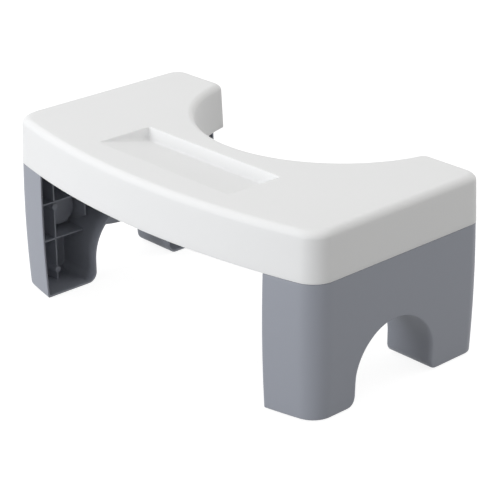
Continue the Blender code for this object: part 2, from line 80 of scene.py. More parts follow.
# %% Hang the lamps
COOL, WARM = (0.975, 0.985, 1.0), (1.0, 0.995, 0.98)
LAMP_TARGET = Vector((0, 0, 0.1))
LAMPS = {  # name: place, width, power, colour
    "left_light": ((-1.54, -0.72, 1.80), 1.6, 13.2, COOL),
    "front_light": ((-0.28, -2.33, 0.50), 1.2, 30, COOL),
    "back_light": ((1.34, 1.59, 1.30), 1.6, 10, WARM),
    "top_light": ((0, 0.2, 2.5), 1.6, 8.4, WARM),
}

for name, (place, width, power, colour) in LAMPS.items():
    data = bpy.data.lights.new(name, "AREA")
    data.shape, data.size, data.energy, data.color = "SQUARE", width, power, colour
    lamp = bpy.data.objects.new(name, data)
    aim = (LAMP_TARGET - Vector(place)).to_track_quat("-Z", "Y")
    lamp.matrix_world = Matrix.Translation(place) @ aim.to_matrix().to_4x4()
    bpy.context.collection.objects.link(lamp)
print("lamps", [lamp.name for lamp in bpy.data.lights])

# %% [markdown]
# ## The white background
#
# Behind the stool all is white. A world as bright as that would flood the plastic, so the world is
# soft for the rays that carry light, and white only for rays that are seen, straight or reflected.


# %% Light the world
def set_inputs(node, values):
    """Gives some of a node's inputs their values."""
    for socket, value in values.items():
        node.inputs[socket].default_value = value
    return node


def seen_rays(tree):
    """One for camera, glossy and transmission rays, nought for the rays that only carry light."""
    rays = tree.nodes.new("ShaderNodeLightPath")
    seen = rays.outputs["Is Camera Ray"]
    for kind in ("Is Glossy Ray", "Is Transmission Ray"):
        either = tree.nodes.new("ShaderNodeMath")
        either.operation = "MAXIMUM"
        tree.links.new(seen, either.inputs[0])
        tree.links.new(rays.outputs[kind], either.inputs[1])
        seen = either.outputs[0]
    return seen


WORLD_COLOUR, WORLD_STRENGTH = (1.0, 0.992, 0.975, 1), 0.475

world = bpy.data.worlds.new("studio")
world.use_nodes = True
bpy.context.scene.world = world
bpy.context.scene.view_settings.view_transform = "Standard"
nodes, links = world.node_tree.nodes, world.node_tree.links
light = set_inputs(nodes["Background"], {"Color": WORLD_COLOUR, "Strength": WORLD_STRENGTH})
backdrop = set_inputs(nodes.new("ShaderNodeBackground"), {"Color": (1, 1, 1, 1)})
pick = nodes.new("ShaderNodeMixShader")
links.new(seen_rays(world.node_tree), pick.inputs["Fac"])
links.new(light.outputs[0], pick.inputs[1])
links.new(backdrop.outputs[0], pick.inputs[2])
links.new(pick.outputs[0], nodes["World Output"].inputs["Surface"])
print("world", world.name, "strength", WORLD_STRENGTH)

# %% [markdown]
# ## The floor
#
# Every surface in this lesson is an array of points on a grid, and its faces are the grid's cells.
# The floor is the plainest of them, three points by three. It is a grey paper that takes the
# shadow and throws little light back up, under a white glow that only seen rays meet.

# %% Lay the floor
FLOOR_HALF, FLOOR_POINTS = 3.0, 3
PAPER_COLOUR, PAPER_ROUGHNESS, PAPER_GLOW = (0.30, 0.30, 0.30, 1), 0.9, 0.87


def cells(rows, cols, wrap_rows=False, wrap_cols=False, start=0):
    """The quads of a grid of rows times cols points, whose first point has the index start."""
    index = start + np.arange(rows * cols).reshape(rows, cols)
    if wrap_rows:
        index = np.vstack([index, index[:1]])
    if wrap_cols:
        index = np.hstack([index, index[:, :1]])
    corners = [index[:-1, :-1], index[:-1, 1:], index[1:, 1:], index[1:, :-1]]
    return np.stack(corners, axis=-1).reshape(-1, 4)


def mesh_object(name, points, quads):
    """An object whose mesh has these points and quads, linked to the scene."""
    mesh = bpy.data.meshes.new(name)
    mesh.from_pydata(points.tolist(), [], quads.tolist())
    made = bpy.data.objects.new(name, mesh)
    bpy.context.collection.objects.link(made)
    return made


def floor_paper():
    """Grey paper that takes the shadow, with a plain white glow that only seen rays meet."""
    paint = bpy.data.materials.new("floor_paper")
    paint.use_nodes = True
    nodes, links = paint.node_tree.nodes, paint.node_tree.links
    look = {"Base Color": PAPER_COLOUR, "Roughness": PAPER_ROUGHNESS}
    shader = set_inputs(nodes["Principled BSDF"], look)
    glow = nodes.new("ShaderNodeEmission")
    amount = set_inputs(nodes.new("ShaderNodeMath"), {1: PAPER_GLOW})
    amount.operation = "MULTIPLY"
    links.new(seen_rays(paint.node_tree), amount.inputs[0])
    links.new(amount.outputs[0], glow.inputs["Strength"])
    both = nodes.new("ShaderNodeAddShader")
    links.new(shader.outputs[0], both.inputs[0])
    links.new(glow.outputs[0], both.inputs[1])
    links.new(both.outputs[0], nodes["Material Output"].inputs["Surface"])
    return paint


steps = np.linspace(-FLOOR_HALF, FLOOR_HALF, FLOOR_POINTS)
x, y = np.meshgrid(steps, steps)
floor_points = np.stack([x, y, np.zeros_like(x)], axis=-1).reshape(-1, 3)
floor = mesh_object("floor", floor_points, cells(FLOOR_POINTS, FLOOR_POINTS))
floor.data.materials.append(floor_paper())
print("floor", len(floor.data.polygons), "faces")

# %% [markdown]
# ## The plastics
#
# Moulded plastic is even in colour, but never quite: the colour drifts a little, the surface has a
# fine grain, and the gloss changes with it. Pictures of plastic would need unwrapping and show
# their seams. Noise in object coordinates needs neither, and it moves with a leg.

# %% Mix the materials
DRIFT_DETAIL, GRAIN_SCALE, GRAIN_DETAIL = 3, 1400, 2
GRAIN_STRENGTH, GLOSS_SWING = 0.25, 0.04


def plastic(name, colour, shade, roughness, grain, drift_scale=9.0, specular=0.5):
    """A moulded plastic: colour drifts towards shade, with a fine grain in its bump and gloss."""
    paint = bpy.data.materials.new(name)
    paint.use_nodes = True
    nodes, links = paint.node_tree.nodes, paint.node_tree.links
    shader = set_inputs(nodes["Principled BSDF"], {"Specular IOR Level": specular})
    where = nodes.new("ShaderNodeTexCoord")
    noise = {"Scale": drift_scale, "Detail": DRIFT_DETAIL}
    drift = set_inputs(nodes.new("ShaderNodeTexNoise"), noise)
    noise = {"Scale": GRAIN_SCALE, "Detail": GRAIN_DETAIL}
    fine = set_inputs(nodes.new("ShaderNodeTexNoise"), noise)
    links.new(where.outputs["Object"], drift.inputs["Vector"])
    links.new(where.outputs["Object"], fine.inputs["Vector"])
    blend = nodes.new("ShaderNodeMix")
    blend.data_type = "RGBA"
    set_inputs(blend, {"A": (*colour, 1), "B": (*shade, 1)})
    links.new(drift.outputs["Fac"], blend.inputs["Factor"])
    links.new(blend.outputs["Result"], shader.inputs["Base Color"])
    swing = {"To Min": roughness - GLOSS_SWING, "To Max": roughness + GLOSS_SWING}
    gloss = set_inputs(nodes.new("ShaderNodeMapRange"), swing)
    links.new(fine.outputs["Fac"], gloss.inputs["Value"])
    links.new(gloss.outputs["Result"], shader.inputs["Roughness"])
    relief = {"Strength": GRAIN_STRENGTH, "Distance": grain}
    bump = set_inputs(nodes.new("ShaderNodeBump"), relief)
    links.new(fine.outputs["Fac"], bump.inputs["Height"])
    links.new(bump.outputs["Normal"], shader.inputs["Normal"])
    return paint


white_plastic = plastic(
    "white_moulding", (0.86, 0.865, 0.87), (0.84, 0.845, 0.85), 0.52, grain=0.00004, specular=0.2
)
grey_plastic = plastic(
    "grey_moulding", (0.309, 0.326, 0.373), (0.300, 0.317, 0.364), 0.50, grain=0.00006
)
dark_rubber = plastic(
    "pad_rubber", (0.035, 0.037, 0.040), (0.045, 0.047, 0.050), 0.80, grain=0.00008, drift_scale=60
)
steel = plastic(
    "zinc_plate", (0.62, 0.63, 0.64), (0.56, 0.57, 0.59), 0.33, grain=0.00001, drift_scale=300
)
set_inputs(steel.node_tree.nodes["Principled BSDF"], {"Metallic": 1})
print("materials", [paint.name for paint in bpy.data.materials])

# %% [markdown]
# ## From grids to pieces
#
# A moulding needs several grids, and they look like one skin only when they share the points along
# their borders. So a piece joins its grids, merges the points that meet, turns the faces outwards
# and smooths all but the sharp edges. The left leg's pieces are the right leg's, mirrored in X.

# %% Turn grids into pieces
WELD_DISTANCE, SLIVER, SHARP_ANGLE = 2e-6, 1e-7, 35


def gather(sheets):
    """Joins (points, quads) pairs into one pair."""
    points = [grid.reshape(-1, 3) for grid, _ in sheets]
    starts = np.cumsum([0] + [len(places) for places in points])
    quads = [faces + start for (_, faces), start in zip(sheets, starts)]
    return np.vstack(points), np.vstack(quads)


def piece(name, sheets, paint, body, side=1, close=False):
    """One welded mesh that rides on a body. Side -1 mirrors it in X, close fills its open ends."""
    points, quads = gather(sheets)
    made = mesh_object(name, points * (side, 1, 1), quads if side > 0 else quads[:, ::-1])
    mesh = made.data
    weld = bmesh.new()
    weld.from_mesh(mesh)
    bmesh.ops.remove_doubles(weld, verts=weld.verts, dist=WELD_DISTANCE)
    bmesh.ops.dissolve_degenerate(weld, edges=weld.edges, dist=SLIVER)
    if close:
        open_edges = [edge for edge in weld.edges if edge.is_boundary]
        bmesh.ops.holes_fill(weld, edges=open_edges, sides=0)
    bmesh.ops.recalc_face_normals(weld, faces=weld.faces)
    weld.to_mesh(mesh)
    weld.free()
    mesh.shade_smooth()
    mesh.set_sharp_from_angle(angle=radians(SHARP_ANGLE))
    mesh.materials.append(paint)
    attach(made, body)
    return made


# %% [markdown]
# ## The outline of the top
#
# Seen from above, the top is a chain of arcs and lines: a bow in front, round corners, and a bay
# between two horns behind. A curve could be drawn by eye, but arcs keep the CAD model's radii and
# give the outward direction at each place, which the rounded edge needs.

# %% Draw arcs and lines
TINY = 1e-9


def arc(centre, radius, start, end, count, facing=1):
    """Places on an arc, centre + radius * (cos, sin) for even angles, and their normals."""
    angle = np.linspace(start, end, count)
    way = np.stack([np.cos(angle), np.sin(angle)], axis=-1)
    return np.asarray(centre) + radius * way, way * facing


def line(a, b, count, normal=(0, 0)):
    """Evenly spaced places from a to b, all with one normal."""
    share = np.linspace(0, 1, count)[:, None]
    places = np.asarray(a) * (1 - share) + np.asarray(b) * share
    return places, np.tile(np.asarray(normal, float), (count, 1))


def joined(runs):
    """Runs end to end, with the doubled joints left out."""
    return np.concatenate([runs[0]] + [run[1:] for run in runs[1:]])


def chain(runs):
    """Runs of (places, normals) joined in the same way."""
    return tuple(joined(part) for part in zip(*runs))


def half_chord(radius, away):
    """Half of a circle's chord that lies away from its centre: root of (radius^2 - away^2)."""
    return np.sqrt(np.maximum(radius**2 - away**2, 0))


print("a quarter arc", arc((0, 0), 1, 0, np.pi / 2, 3)[0].round(3).tolist())

# %% Draw the outline of the top
TOP_LENGTH, TOP_DEPTH = 0.420, 0.2397
FRONT_Y, BACK_Y, END_X = -TOP_DEPTH / 2, TOP_DEPTH / 2, TOP_LENGTH / 2
BOW_RADIUS, BAY_RADIUS, BAY_CENTRE_OUT = 0.7975, 0.1391, 0.02515
BOW_CENTRE_Y = FRONT_Y + BOW_RADIUS
FRONT_CORNER, BACK_CORNER, HORN_CORNER = 0.0244, 0.0153, 0.0090
SKIRT_CORNERS = (FRONT_CORNER, BACK_CORNER, HORN_CORNER)
WIDER_ON_THE_FACE = (0.0106, 0.0050, 0.0080)
FACE_CORNERS = np.add(SKIRT_CORNERS, WIDER_ON_THE_FACE)


def bow_y(x, inset=0):
    """The y of the bowed front at x, moved in by inset: its circle's centre less half a chord."""
    return BOW_CENTRE_Y - half_chord(BOW_RADIUS - inset, x)


def front_corner(radius):
    """The centre of a front corner's arc, and the angle at which the bow runs into it."""
    x = END_X - radius
    y = bow_y(x, radius)
    return np.array([x, y]), np.arctan2(y - BOW_CENTRE_Y, x)


def outline_half(corners):
    """The right half, from the middle of the front to the middle of the bay: 260 steps."""
    front_round, back_round, horn_round = corners
    front, bow_end = front_corner(front_round)
    back = np.array([END_X - back_round, BACK_Y - back_round])
    bay_centre = np.array([0, BACK_Y + BAY_CENTRE_OUT])
    horn_y = BACK_Y - horn_round
    horn_x = half_chord(BAY_RADIUS + horn_round, bay_centre[1] - horn_y)
    bay_start = np.arctan2(horn_y - bay_centre[1], horn_x)
    runs = [
        arc((0, BOW_CENTRE_Y), BOW_RADIUS, -np.pi / 2, bow_end, 81),
        arc(front, front_round, bow_end, 0, 21),
        line((END_X, front[1]), (END_X, back[1]), 21, (1, 0)),
        arc(back, back_round, 0, np.pi / 2, 21),
        line((back[0], BACK_Y), (horn_x, BACK_Y), 13, (0, 1)),
        arc((horn_x, horn_y), horn_round, np.pi / 2, bay_start + np.pi, 25),
        arc(bay_centre, BAY_RADIUS, bay_start, -np.pi / 2, 85, facing=-1),
    ]
    return chain(runs)


def closed_outline(corners=SKIRT_CORNERS):
    """The half outline and its mirror image, as one loop of places and normals."""
    return tuple(np.vstack([half, half[-2:0:-1] * (-1, 1)]) for half in outline_half(corners))


print("outline", len(closed_outline()[0]), "places")

# %% [markdown]
# ## The section of the top
#
# The rim of the top is one section carried round the outline: the skirt's inner side, its lower
# lip, its leaning outer side and the rounded upper edge. The corners of the face are wider than
# the corners of the skirt, which a plain bevel can't give. So each row of the section also says how
# far it has gone over to the wider outline.

# %% Draw the section of the top
SKIRT_Z, TOP_Z = 0.1317, 0.1783
TOP_WALL, TOP_DRAFT, TOP_EDGE, SKIRT_ROUND = 0.0025, 0.0020, 0.0070, 0.0005


def skirt_inset(z):
    """The lean of the skirt: nought at its lower edge and TOP_DRAFT at the top face."""
    return TOP_DRAFT * (z - SKIRT_Z) / (TOP_Z - SKIRT_Z)


def top_section():
    """Rows of (inset, z, share of the face's wider corners), from the inner fillet to the face.

    Both fillets are quarter arcs, which stand in by radius * (1 - cos) and drop by
    radius * (1 - sin). Their share grows as 1 - cos too, so the walls stay on the skirt's outline.
    """
    inner_radius = TOP_EDGE - TOP_WALL
    turn = np.linspace(np.pi / 2, 0, 9)
    z = TOP_Z - TOP_WALL - inner_radius * (1 - np.sin(turn))
    wider = 1 - np.cos(turn)
    fillet = np.stack([TOP_WALL + skirt_inset(z) + inner_radius * wider, z, wider], axis=-1)
    z = np.linspace(z[-1], SKIRT_Z + SKIRT_ROUND, 6)[1:]
    inside = np.stack([TOP_WALL + skirt_inset(z), z, 0 * z], axis=-1)
    turn = np.linspace(0, np.pi, 9)
    half = TOP_WALL / 2
    lip_in = half + np.cos(turn) * SKIRT_ROUND + np.sign(np.cos(turn)) * (half - SKIRT_ROUND)
    lip_z = SKIRT_Z + SKIRT_ROUND - SKIRT_ROUND * np.sin(turn)
    lip = np.stack([lip_in, lip_z, 0 * turn], axis=-1)[1:]
    z = np.linspace(SKIRT_Z + SKIRT_ROUND, TOP_Z - TOP_EDGE, 10)[1:]
    outside = np.stack([skirt_inset(z), z, 0 * z], axis=-1)
    turn = np.linspace(0, np.pi / 2, 19)[1:]
    z = TOP_Z - TOP_EDGE * (1 - np.sin(turn))
    wider = 1 - np.cos(turn)
    crown = np.stack([skirt_inset(z) + TOP_EDGE * wider, z, wider], axis=-1)
    return np.vstack([fillet, inside, lip, outside, crown])


print("section", len(top_section()), "rows")

# %% [markdown]
# ## The recess
#
# The recess is a wedge that slopes down towards the bay. Cut with a Boolean, it would have sharp
# edges and ragged faces. Here it is a depth for every place on the top: a sloping floor, and walls
# that lean in on their way down, with a small lip at the top and a wide fillet at the foot.

# %% Draw the recess
RECESS_HALF, RECESS_CORNER, RECESS_DEPTH = 0.0903, 0.0024, 0.0122
RECESS_TIP_Y, RECESS_BOTTOM_Y, RECESS_BACK_Y = -0.08235, -0.0240, -0.0205
SIDE_STEEPNESS = 3.5
BACK_STEEPNESS = RECESS_DEPTH / (RECESS_BACK_Y - RECESS_BOTTOM_Y)
LIP, FILLET, TIP_SOFTNESS = 0.0009, 0.0042, 0.00012


def wall_section(inside, floor_depth, steepness):
    """Depth at a distance inside the wall's edge: a lip arc, a straight slope and a fillet arc."""
    lip = np.minimum(LIP, floor_depth / 2)
    foot = np.minimum(FILLET, floor_depth / 2)
    width = (floor_depth - lip - foot) / steepness
    over = lip - half_chord(lip, np.clip(inside + lip, 0, lip))
    slope = lip + np.clip(inside, 0, width) * steepness
    fillet = floor_depth - foot + half_chord(foot, np.clip(width + foot - inside, 0, foot))
    return np.where(inside < 0, over, np.where(inside < width, slope, fillet))


def recess_depth(x, y, grow=0.0):
    """Depth below the top face, with the walls moved out by grow.

    The floor is a ramp whose start is softened: half of the ramp plus the root of its square and
    a small square. Inside is the distance to the nearer wall, or to the arc of a corner.
    """
    ramp = (y - RECESS_TIP_Y) * RECESS_DEPTH / (RECESS_BOTTOM_Y - RECESS_TIP_Y)
    floor_depth = (ramp + np.sqrt(ramp**2 + TIP_SOFTNESS**2)) / 2
    side = RECESS_HALF + grow - np.abs(x)
    back = RECESS_BACK_Y + grow - y
    corner = RECESS_CORNER + grow
    short_side, short_back = np.maximum(corner - side, 0), np.maximum(corner - back, 0)
    away = np.hypot(short_side, short_back)
    inside = np.where(away > 0, corner - away, np.minimum(side, back))
    share = np.where(away > 0, short_side**2 / np.maximum(away, TINY) ** 2, side < back)
    steepness = SIDE_STEEPNESS * share + BACK_STEEPNESS * (1 - share)
    return wall_section(inside, floor_depth, steepness)


print("recess is", float(recess_depth(0, RECESS_BOTTOM_Y)), "deep at the foot of its back wall")

# %% [markdown]
# ## The top moulding
#
# The middle of the top is a patch of fine cells, closest together where the recess bends, and the
# rings of the section end round it. The patch has as many border points as a ring, so one band of
# quads joins them. A second patch, one wall lower, closes the underside.

# %% Lay out the patch
PATCH_X, PATCH_FRONT_Y, PATCH_BACK_Y = 0.130, -0.090, -0.012
SIDE_ZONE, BACK_ZONE, TIP_ZONE, OUTER_ZONE = 0.0075, 0.0080, 0.0010, 0.0012


def graded(stops, counts):
    """Lines from stop to stop, counts of them in each stretch, with the doubled stops left out."""
    ends = zip(stops[:-1], stops[1:], counts)
    return joined([np.linspace(start, end, count) for start, end, count in ends])


def patch_lines():
    """The x and y lines of the patch, close together at the edges of the recess."""
    x_stops = (0, RECESS_HALF - SIDE_ZONE, RECESS_HALF + OUTER_ZONE, PATCH_X)
    tip_stops = (PATCH_FRONT_Y, RECESS_TIP_Y - TIP_ZONE, RECESS_TIP_Y + TIP_ZONE)
    back_stops = (RECESS_BACK_Y - BACK_ZONE, RECESS_BACK_Y + OUTER_ZONE, PATCH_BACK_Y)
    half = graded(x_stops, (25, 43, 15))
    return np.concatenate([-half[:0:-1], half]), graded(tip_stops + back_stops, (7, 9, 37, 43, 9))


def border(rows, cols):
    """Indices round a grid, anticlockwise from the middle of its first row."""
    index = np.arange(rows * cols).reshape(rows, cols)
    middle = cols // 2
    right = [index[0, middle:], index[1:, -1], index[-1, -2 : middle - 1 : -1]]
    left = [index[-1, middle - 1 :: -1], index[-2::-1, 0], index[0, 1:middle]]
    return np.concatenate(right + left)


print("patch", [len(lines) for lines in patch_lines()], "lines")


# %% Mould the top
def build_top_moulding():
    """Rings along the section, and a patch above and below that closes them."""
    places, normals = closed_outline()
    face_places, face_normals = closed_outline(FACE_CORNERS)
    inset, z, wider = top_section().T[..., None, None]
    skirt_ring, face_ring = places - normals * inset, face_places - face_normals * inset
    rings = np.zeros((len(z), len(places), 3))
    rings[..., :2] = skirt_ring * (1 - wider) + face_ring * wider
    rings[..., 2] = z[..., 0]
    x, y = np.meshgrid(*patch_lines())
    upper = np.stack([x, y, TOP_Z - recess_depth(x, y)], axis=-1)
    lower = np.stack([x, y, TOP_Z - TOP_WALL - recess_depth(x, y, TOP_WALL)], axis=-1)
    points = np.vstack([grid.reshape(-1, 3) for grid in (rings, upper, lower)])
    ring_count, count = rings.shape[:2]
    rim = border(*x.shape)
    quads = [cells(ring_count, count, wrap_cols=True)]
    upper_start = ring_count * count
    for start, ring in ((upper_start, ring_count - 1), (upper_start + x.size, 0)):
        loop = ring * count + np.arange(count)
        inner = start + rim
        band = [loop, np.roll(loop, -1), np.roll(inner, -1), inner]
        quads += [np.stack(band, axis=-1), cells(*x.shape, start=start)]
    made = piece("top_moulding", [(points, np.vstack(quads))], white_plastic, "top")
    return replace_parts(made, "top_shell")


top_moulding = build_top_moulding()
print("top_moulding", len(top_moulding.data.polygons), "faces")

# %% [markdown]
# ## The legs
#
# A leg is a hollow moulding, open on its inner side, with an arch through it. A box with a hole cut
# in it would miss the arch's soft edge. So the outer skin is one grid: each line starts at the open
# rim, crosses the sole or the soffit, turns over the lower edge, climbs the wall and comes back to
# the rim across the top. The inner skin is the same grid one wall further in, and a rounded strip
# joins the two along the rim.

# %% Draw the plan of a leg
FOOT_Z, LEG_TOP_Z = 0.001, 0.1314
LEG_INSET, LEG_WALL, LEG_BULGE, LEG_THICKNESS = 0.00045, 0.0020, 0.00118, 0.0535
TUCK_FRONT, TUCK_SIDE, TUCK_BACK = 0.0018, 0.00085, 0.00085
RIM_ROUND = 0.0004
RIM_X = END_X - LEG_INSET - LEG_THICKNESS
SKIN_X = RIM_X + RIM_ROUND
ARCH_Y, ARCH_RADIUS, ARCH_FOOT, ARCH_HEIGHT, ARCH_LEAN = 0.006044, 0.0486, 0.0102, 0.0708, 0.0020
ARCH_TOE = ARCH_RADIUS + ARCH_FOOT


def leg_inset(z, tuck):
    """How far a wall stands in at z: LEG_INSET + tuck * below^2 - LEG_BULGE * a parabola.

    Below is the share of the way down, and the parabola is one at mid height, nought at the ends.
    """
    below = (LEG_TOP_Z - z) / (LEG_TOP_Z - FOOT_Z)
    return LEG_INSET + tuck * below**2 - LEG_BULGE * 4 * below * (1 - below)


def wall_place(plan, normal, z, inset):
    """Places on the leg's wall at height z, moved in by inset along the plan's normal."""
    tuck_y = np.where(normal[..., 1] < 0, TUCK_FRONT, TUCK_BACK)
    x = plan[..., 0] - normal[..., 0] * (inset + leg_inset(z, TUCK_SIDE))
    y = plan[..., 1] - normal[..., 1] * (inset + leg_inset(z, tuck_y))
    return np.stack([x, y, z + np.zeros_like(x)], axis=-1)


def plan_runs():
    """The leg's plan in front of the arch and behind it, as two runs of places and normals."""
    front, bow_end = front_corner(FRONT_CORNER)
    bow_start = -np.arccos(SKIN_X / BOW_RADIUS)
    back = np.array([END_X - BACK_CORNER, BACK_Y - BACK_CORNER])
    ahead = [
        arc((0, BOW_CENTRE_Y), BOW_RADIUS, bow_start, bow_end, 22),
        arc(front, FRONT_CORNER, bow_end, 0, 33),
        line((END_X, front[1]), (END_X, ARCH_Y - ARCH_TOE), 8, (1, 0)),
    ]
    behind = [
        line((END_X, ARCH_Y + ARCH_TOE), (END_X, back[1]), 10, (1, 0)),
        arc(back, BACK_CORNER, 0, np.pi / 2, 29),
        line((back[0], BACK_Y), (SKIN_X, BACK_Y), 18, (0, 1)),
    ]
    return chain(ahead), chain(behind)


print("plan", [len(places) for places, _ in plan_runs()], "places, rim at", RIM_X)

# %% [markdown]
# The arch is round at its crown, straight at its sides and flares out at its feet. Its front side
# leans back a little as it rises, which the photograph shows beside the upright rear side.

# %% Draw the arch
ARCH_CENTRE_Z = FOOT_Z + ARCH_HEIGHT - ARCH_RADIUS
ARCH_TOP_Z = ARCH_CENTRE_Z + ARCH_RADIUS


def lean(y):
    """A place on the arch, moved back by up to ARCH_LEAN: the cube of its way to the front side."""
    return y + ARCH_LEAN * np.clip((ARCH_Y - y) / ARCH_RADIUS, 0, 1) ** 3


def arch_run():
    """The arch as (y, z), and the way out of the material: foot, side, crown, side and foot."""
    foot_z = FOOT_Z + ARCH_FOOT
    left, right = ARCH_Y - ARCH_RADIUS, ARCH_Y + ARCH_RADIUS
    places, ways = chain(
        [
            arc((ARCH_Y - ARCH_TOE, foot_z), ARCH_FOOT, -np.pi / 2, 0, 15),
            line((left, foot_z), (left, ARCH_CENTRE_Z), 6, (1, 0)),
            arc((ARCH_Y, ARCH_CENTRE_Z), ARCH_RADIUS, np.pi, 0, 97, facing=-1),
            line((right, ARCH_CENTRE_Z), (right, foot_z), 6, (-1, 0)),
            arc((ARCH_Y + ARCH_TOE, foot_z), ARCH_FOOT, np.pi, 1.5 * np.pi, 15),
        ]
    )
    places[:, 0] = lean(places[:, 0])
    return places, ways


print("arch", len(arch_run()[0]), "places, crown at", ARCH_TOP_Z)

# %% [markdown]
# The lower edge of a leg is round: 2 mm at the soles, 4 mm up the sides of the arch, and 1 mm at
# its crown. The lines over the arch spread out on their way up, to stand evenly along the top.

# %% Draw the lines of a leg
EDGE_HEIGHTS, EDGE_ROUNDS = (0, 0.10, 0.45, 0.85, 1), (0.0020, 0.0040, 0.0040, 0.0012, 0.0010)
INNER_ROUND, BROW_ROUND = 0.0009, 0.0004
SPREAD_MARGIN = 0.01


def share_along(places):
    """How far along a run each place is, from nought to one: the summed steps over their total."""
    steps = np.hypot(*np.diff(places, axis=0).T)
    return np.concatenate([[0], np.cumsum(steps)]) / steps.sum()


def leg_lines():
    """For each line: lower corner, its z, wall normal, way out of the edge, top place and kind.

    The kind is -1 in front of the arch, 0 on it and 1 behind it.
    """
    (ahead, ahead_n), (behind, behind_n) = plan_runs()
    arch, arch_out = (run[1:-1] for run in arch_run())
    kinds = np.repeat([-1, 0, 1], [len(ahead), len(arch), len(behind)])
    low = np.vstack([ahead, np.stack([np.full(len(arch), END_X), arch[:, 0]], axis=-1), behind])
    low_z = np.full(len(low), FOOT_Z)
    low_z[kinds == 0] = arch[:, 1]
    normal = np.vstack([ahead_n, np.tile([1.0, 0.0], (len(arch), 1)), behind_n])
    out = np.tile([0.0, 0.0, -1.0], (len(low), 1))
    out[kinds == 0, 1:] = arch_out
    spread = share_along(arch) * (1 - 2 * SPREAD_MARGIN) + SPREAD_MARGIN
    top = low.copy()
    top[kinds == 0, 1] = ahead[-1, 1] + (behind[0, 1] - ahead[-1, 1]) * spread
    return low, low_z, normal, out, top, kinds


def rim_ys(edge, kinds):
    """Where each line meets the rim: straight across, but evenly spread behind the arch."""
    y = edge[:, 1].copy()
    run = edge[kinds > 0]
    y[kinds > 0] = run[0, 1] + (run[-1, 1] - run[0, 1]) * share_along(run[:, :2])
    return y


print("leg", len(leg_lines()[0]), "lines")


# %% Draw the skins of a leg
def leg_skin(inner):
    """One skin as a grid: lines from the rim over the sole or soffit, up the wall and back.

    The rounded edges are quarter arcs: in by radius * (1 - cos), up or down by radius * (1 - sin).
    """
    low, low_z, normal, out, top, kinds = leg_lines()
    wall = LEG_WALL if inner else 0.0
    height = np.clip((low_z - FOOT_Z) / (ARCH_TOP_Z - FOOT_Z), 0, 1)
    edge_round = np.interp(height, EDGE_HEIGHTS, EDGE_ROUNDS)
    if inner:
        edge_round = np.full(len(low), INNER_ROUND)
    start, start_z = low - wall * out[:, :2], low_z - wall * out[:, 2]
    rows = []
    for turn in np.linspace(np.pi / 2, 0, 8):
        drop = edge_round * (1 - np.sin(turn))
        place, z = start - drop[:, None] * out[:, :2], start_z - drop * out[:, 2]
        rows.append(wall_place(place, normal, z, wall + edge_round * (1 - np.cos(turn))))
    edge = rows[0]
    rim = np.stack([np.full(len(low), SKIN_X), rim_ys(edge, kinds), edge[:, 2]], axis=-1)
    soffit = [rim + (edge - rim) * share for share in np.linspace(0, 1, 15)[:-1]]
    foot, foot_z = start - edge_round[:, None] * out[:, :2], start_z - edge_round * out[:, 2]
    top_z = LEG_TOP_Z - wall
    for share in np.linspace(0, 1, 41)[1:]:
        z = foot_z + (top_z - BROW_ROUND - foot_z) * share
        rows.append(wall_place(foot + (top - foot) * share, normal, z, wall))
    for turn in np.linspace(0, np.pi / 2, 5)[1:]:
        z = top_z - BROW_ROUND * (1 - np.sin(turn))
        rows.append(wall_place(top, normal, z, wall + BROW_ROUND * (1 - np.cos(turn))))
    brow = rows[-1]
    back = np.stack([np.full(len(low), SKIN_X), rim_ys(brow, kinds), brow[:, 2]], axis=-1)
    top_plate = [brow + (back - brow) * share for share in np.linspace(0, 1, 11)[1:]]
    skin = np.stack(soffit + rows + top_plate)
    skin[:, [0, -1], 0] = SKIN_X
    return skin


print("skin", leg_skin(False).shape[:2], "points")


# %% Close the rim and mould the legs
def grid_border(grid):
    """The places round a grid, in order."""
    return np.vstack([grid[0, :-1], grid[:-1, -1], grid[-1, :0:-1], grid[:0:-1, 0]])


def rim_strip(outer, inner):
    """A strip from the outer skin's border to the inner skin's: two quarter arcs and a flat."""
    a, b = grid_border(outer), grid_border(inner)
    across = b - a
    across /= np.maximum(np.linalg.norm(across, axis=-1, keepdims=True), TINY)
    turn = np.linspace(0, np.pi / 2, 5)[:, None, None]
    over, towards = RIM_ROUND * (1 - np.cos(turn)) * across, RIM_ROUND * np.sin(turn) * (-1, 0, 0)
    strip = np.concatenate([a + over + towards, (b - over + towards)[::-1]])
    return strip, cells(*strip.shape[:2], wrap_cols=True)


def build_leg(side, name):
    """Both skins and the rim of one leg."""
    outer, inner = leg_skin(False), leg_skin(True)
    sheets = [(skin, cells(*skin.shape[:2])) for skin in (outer, inner)]
    sheets.append(rim_strip(outer, inner))
    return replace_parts(piece(name + "_moulding", sheets, grey_plastic, name, side), name)


SIDES = {"right": 1, "left": -1}
for side_name, side in SIDES.items():
    leg = build_leg(side, side_name + "_leg")
    print(leg.name, len(leg.data.polygons), "faces")

# %% [markdown]
# ## The ribs inside the legs
#
# Upright and level ribs stiffen a leg. They could be thin boxes, but a moulded rib has a little
# draft and a round free edge that catches the light. So a rib is a strip whose section goes from
# the root round the free edge and back. Its other edges run into the walls.

# %% Draw a rib
RIB_HALF, RIB_ROOT_HALF, RIB_CORNER = 0.0009, 0.0011, 0.00025


